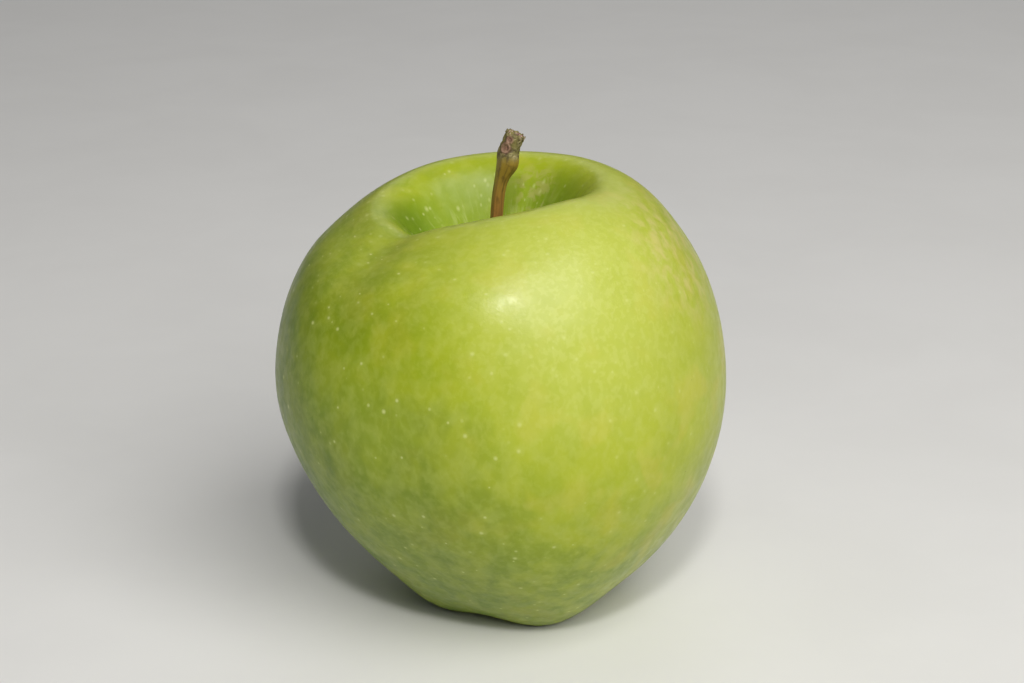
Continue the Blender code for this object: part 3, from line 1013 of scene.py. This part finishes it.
# %% Torn fibres
FIBRE_PALE = (0.620, 0.430, 0.380)
FIBRE_DARK = (0.160, 0.055, 0.045)
TORN_FIBRES = 30
FIBRE_LENGTHS = (0.25, 0.60)
FIBRE_RADII = (0.09, 0.17)
FIBRE_TIP_RADIUS = 0.04
FIBRE_LEAN = 0.35


def fibre_material():
    material, tree, shader = new_material("torn_wood")
    places = object_mm(tree)
    patches = cloud_mask(tree, places, 0.35, 0.4, 0.6, detail=4.0)
    colour = tint(tree, patches, FIBRE_PALE, FIBRE_DARK)
    roughness = ramp(tree, patches, 0.0, 1.0, 0.65, 0.85)
    finish_shader(tree, shader, colour, roughness, patches, 0.4, 0.05)
    return material


def build_fibres():
    shape, chance = bmesh.new(), random.Random(5)
    top = stem_ring_place(len(stem_line) - 1)
    radius = stem_line[-1][2]
    for number in range(TORN_FIBRES):
        turn = math.tau * (number + chance.uniform(-0.4, 0.4)) / TORN_FIBRES
        length = chance.uniform(*FIBRE_LENGTHS)
        lean_back = Matrix.Rotation(chance.uniform(-FIBRE_LEAN, FIBRE_LEAN), 4, "X")
        lean = lean_back @ Matrix.Rotation(chance.uniform(-FIBRE_LEAN, FIBRE_LEAN), 4, "Y")
        share = chance.uniform(0.74, 0.95)
        foot = Matrix.Translation((share * math.sin(turn), -share * math.cos(turn), -0.12))
        bmesh.ops.create_cone(
            shape,
            cap_ends=True,
            segments=5,
            radius1=chance.uniform(*FIBRE_RADII) / radius,
            radius2=FIBRE_TIP_RADIUS / radius,
            depth=length / radius,
            matrix=top @ foot @ lean,
        )
    return shape


torn_wood = fibre_material()
torn_fibres = object_from(build_fibres(), "torn_fibres", torn_wood, (), to_frame)

# %% [markdown]
# ## The dried flower
#
# An apple keeps the rest of its blossom in the basin underneath: five sepals, dry and curled, around a tuft
# of stamens. Each sepal is a small sheet, bent along a curve that leans over the stamens and then curls
# out, and given a thin wall. No two curl alike.

# %% Dry leaf material
LEAF_BROWN = (0.150, 0.095, 0.045)
LEAF_GREY = (0.330, 0.310, 0.170)
LEAF_EDGE = (0.060, 0.036, 0.020)
THREAD_BROWN = (0.085, 0.048, 0.026)
THREAD_PALE = (0.260, 0.180, 0.090)


def dry_material(name, main, pale, edge):
    """Dry plant tissue. leaf_grain holds the place across, the distance to the edge and the place along."""
    material, tree, shader = new_material(name)
    grain = own_vector(tree, "leaf_grain")
    parts = node(tree, "ShaderNodeSeparateXYZ", {"Vector": grain})
    veins = fibre_mask(tree, grain, 0.25, 2.5, 0.42, 0.62)
    down = cloud_mask(tree, grain, 0.5, 0.42, 0.62, detail=5.0)
    colour = tint(tree, share_of(tree, down, 0.6), main, pale)
    colour = tint(tree, share_of(tree, veins, 0.45), colour, edge)
    colour = tint(tree, ramp(tree, parts.outputs["Z"], 3.5, 6.0, 0.0, 0.7), colour, edge)
    roughness = ramp(tree, down, 0.0, 1.0, 0.72, 0.9)
    height = maths(tree, "ADD", veins, share_of(tree, down, 0.5))
    finish_shader(tree, shader, colour, roughness, height, 0.6, 0.10)
    return material


dried_sepal = dry_material("dried_sepal", LEAF_BROWN, LEAF_GREY, LEAF_EDGE)
dried_stamen = dry_material("dried_stamen", THREAD_BROWN, THREAD_PALE, LEAF_EDGE)
print("dry finishes:", dried_sepal.name, dried_stamen.name)

# %% Sepals
SEPALS = 5
SEPAL_HALF_WIDTH = 1.75
SEPAL_TIP_HALF_WIDTH = 0.05
SEPAL_COLUMNS = 14
SEPAL_ROWS = 30
SEPAL_WALL = 0.16
SEPAL_LENGTH = 6.5
SEPAL_RING = 3.0
SEPAL_CRINKLE = 0.16
SEPAL_CUP = 0.28
SEPAL_PATH = [(4.6, 10.6), (3.4, 8.5), (2.3, 6.9), (2.2, 5.3), (3.5, 4.2), (5.0, 4.3), (6.2, 5.0)]
FLOWER_HEIGHT = 7.8

flower_shift = Vector((axis_shift(FLOWER_HEIGHT), 0.0, 0.0))


def path_point(path, share):
    """A point of a B-spline path, at this share of its length in spans."""
    spans = len(path) - 3
    place = min(share * spans, spans - 1e-6)
    return spline_point(path[int(place) : int(place) + 4], place - int(place))


def build_sepal(number):
    chance = random.Random(20 + number)
    curl, twist = chance.uniform(0.75, 1.15), chance.uniform(-0.35, 0.35)
    length = chance.uniform(0.82, 1.0)
    shape = bmesh.new()
    leaf_grain = shape.verts.layers.float_vector.new("leaf_grain")
    bmesh.ops.create_grid(shape, x_segments=SEPAL_COLUMNS, y_segments=SEPAL_ROWS, size=1.0)
    for vert in shape.verts:
        across, along = vert.co.x, (vert.co.y + 1.0) / 2.0
        out, height = path_point(SEPAL_PATH, along * length)
        half_width = SEPAL_HALF_WIDTH * (1.0 - along) ** 0.75 * (1.0 + 0.25 * math.sin(math.pi * along))
        half_width += SEPAL_TIP_HALF_WIDTH
        side = across * half_width
        crinkle = SEPAL_CRINKLE * noise.noise(Vector((side, along * 5.0, number * 7.0)))
        cup = -SEPAL_CUP * across * across * half_width * (1.0 - 1.6 * along)
        out = (out - SEPAL_RING) * curl + SEPAL_RING + cup + crinkle + twist * side * along
        vert[leaf_grain] = (side, abs(across), along * SEPAL_LENGTH)
        vert.co = Vector((side, -out, height + 0.5 * crinkle))
    shape.normal_update()
    bmesh.ops.solidify(shape, geom=shape.faces[:], thickness=SEPAL_WALL)
    bmesh.ops.recalc_face_normals(shape, faces=shape.faces)
    turn = Matrix.Rotation(math.tau * number / SEPALS + chance.uniform(-0.06, 0.06), 3, "Z")
    bmesh.ops.rotate(shape, cent=(0.0, 0.0, 0.0), matrix=turn, verts=shape.verts)
    return shape


for number in range(SEPALS):
    name, node_name = f"dry_sepal_{number + 1}", f"sepal_{number + 1}"
    object_from(build_sepal(number), name, dried_sepal, [node_name], to_frame + flower_shift)

# %% [markdown]
# ## The stamens
#
# Fine threads, each with a bead of an anther at its tip or a broken end. A thread is a small circle drawn
# out along its own bend, the same way as the stem. Together they are one piece.

# %% Stamens
THREADS = 22
THREAD_RINGS = 7
THREAD_SIDES = 6
THREAD_FOOT_HEIGHT = 9.3
THREAD_DROPS = (2.4, 4.0)
THREAD_RADII = (0.07, 0.12)
ANTHER_SHARE = 0.6
ANTHER_SIZE = (0.22, 0.17, 0.30, 1.0)


def add_thread(shape, leaf_grain, chance):
    turn, root = chance.uniform(0.0, math.tau), chance.uniform(0.2, 1.5)
    foot = Vector((root * math.sin(turn), -root * math.cos(turn), THREAD_FOOT_HEIGHT))
    spread = chance.uniform(-0.2, 0.9)
    tip = foot + Vector((spread * math.sin(turn), -spread * math.cos(turn), -chance.uniform(*THREAD_DROPS)))
    bend = Vector((chance.uniform(-0.5, 0.5), chance.uniform(-0.5, 0.5), 0.0))
    radius = chance.uniform(*THREAD_RADII)
    verts = bmesh.ops.create_circle(
        shape, cap_ends=False, segments=THREAD_SIDES, radius=radius, matrix=Matrix.Translation(foot)
    )["verts"]
    ring, place = list({edge for vert in verts for edge in vert.link_edges}), foot
    for step in range(1, THREAD_RINGS + 1):
        share = step / THREAD_RINGS
        target = foot.lerp(tip, share) + bend * math.sin(math.pi * share)
        for vert in verts:
            vert[leaf_grain] = (vert.co.x, 0.0, share * 3.0)
        ring, verts = extruded_ring(shape, ring, Matrix.Translation(target - place))
        place = target
    bmesh.ops.holes_fill(shape, edges=[edge for edge in shape.edges if edge.is_boundary], sides=0)
    if chance.random() < ANTHER_SHARE:
        bead = Matrix.Translation(place) @ Matrix.Diagonal(ANTHER_SIZE)
        bmesh.ops.create_icosphere(shape, subdivisions=2, radius=1.0, matrix=bead)


def build_stamens():
    shape, chance = bmesh.new(), random.Random(11)
    leaf_grain = shape.verts.layers.float_vector.new("leaf_grain")
    for _ in range(THREADS):
        add_thread(shape, leaf_grain, chance)
    bmesh.ops.recalc_face_normals(shape, faces=shape.faces)
    return shape


stamen_tuft = object_from(
    build_stamens(), "stamen_tuft", dried_stamen, ["dried_stamens"], to_frame + flower_shift
)

# %% [markdown]
# ## Floor and light
#
# The floor is plain and pale, so that all colour belongs to the fruit. A broad lamp high on the right models
# the lobes and leaves the left cheek in soft shade, a small one above the front draws the one clear
# highlight, and a wide one behind keeps the back of the fruit from going dark. A weak sky fills the rest.

# %% Floor
FLOOR_SIDE = 6.0
FLOOR_LIGHT = (0.760, 0.755, 0.740)
FLOOR_DARK = (0.730, 0.725, 0.710)


def floor_material():
    material, tree, shader = new_material("pale_floor")
    places = object_mm(tree)
    patches = cloud_mask(tree, places, 40.0, 0.3, 0.7, detail=6.0)
    colour = tint(tree, patches, FLOOR_LIGHT, FLOOR_DARK)
    roughness = ramp(tree, patches, 0.0, 1.0, 0.55, 0.65)
    finish_shader(tree, shader, colour, roughness, cloud_mask(tree, places, 0.8, 0.3, 0.7), 0.1, 0.05)
    return material


def add_floor():
    shape = bmesh.new()
    bmesh.ops.create_grid(shape, x_segments=1, y_segments=1, size=FLOOR_SIDE / 2.0)
    mesh = bpy.data.meshes.new("floor")
    shape.to_mesh(mesh)
    shape.free()
    mesh.materials.append(floor_material())
    floor = bpy.data.objects.new("floor", mesh)
    bpy.context.scene.collection.objects.link(floor)


add_floor()

# %% Lamps
LAMP_AIM = (0.0, 0.0, 0.04)
SKY_COLOUR = (0.90, 0.93, 1.0)
SKY_STRENGTH = 0.09


def add_lamp(name, azimuth, height, distance, size, power, colour):
    """A square area lamp aimed at the fruit. azimuth is in degrees, from the front to the right."""
    turn, lift = math.radians(azimuth), math.radians(height)
    away = Vector((math.sin(turn) * math.cos(lift), -math.cos(turn) * math.cos(lift), math.sin(lift)))
    lamp = bpy.data.objects.new(name, bpy.data.lights.new(name, "AREA"))
    lamp.data.energy = power
    lamp.data.size = size
    lamp.data.color = colour
    lamp.location = Vector(LAMP_AIM) + distance * away
    lamp.rotation_euler = away.to_track_quat("Z", "Y").to_euler()
    bpy.context.scene.collection.objects.link(lamp)


add_lamp("key_lamp", 34.0, 47.0, 0.9, 0.75, 8.0, (1.0, 0.985, 0.955))
add_lamp("highlight_lamp", 1.0, 47.0, 0.8, 0.08, 2.2, (1.0, 0.985, 0.96))
add_lamp("fill_lamp", 175.0, 38.0, 1.2, 0.9, 1.6, (1.0, 0.99, 0.97))


def add_sky():
    world = bpy.data.worlds.new("soft_studio")
    world.use_nodes = True
    background = world.node_tree.nodes["Background"]
    background.inputs["Color"].default_value = (*SKY_COLOUR, 1.0)
    background.inputs["Strength"].default_value = SKY_STRENGTH
    bpy.context.scene.world = world


add_sky()
bpy.context.scene.view_settings.view_transform = "Standard"
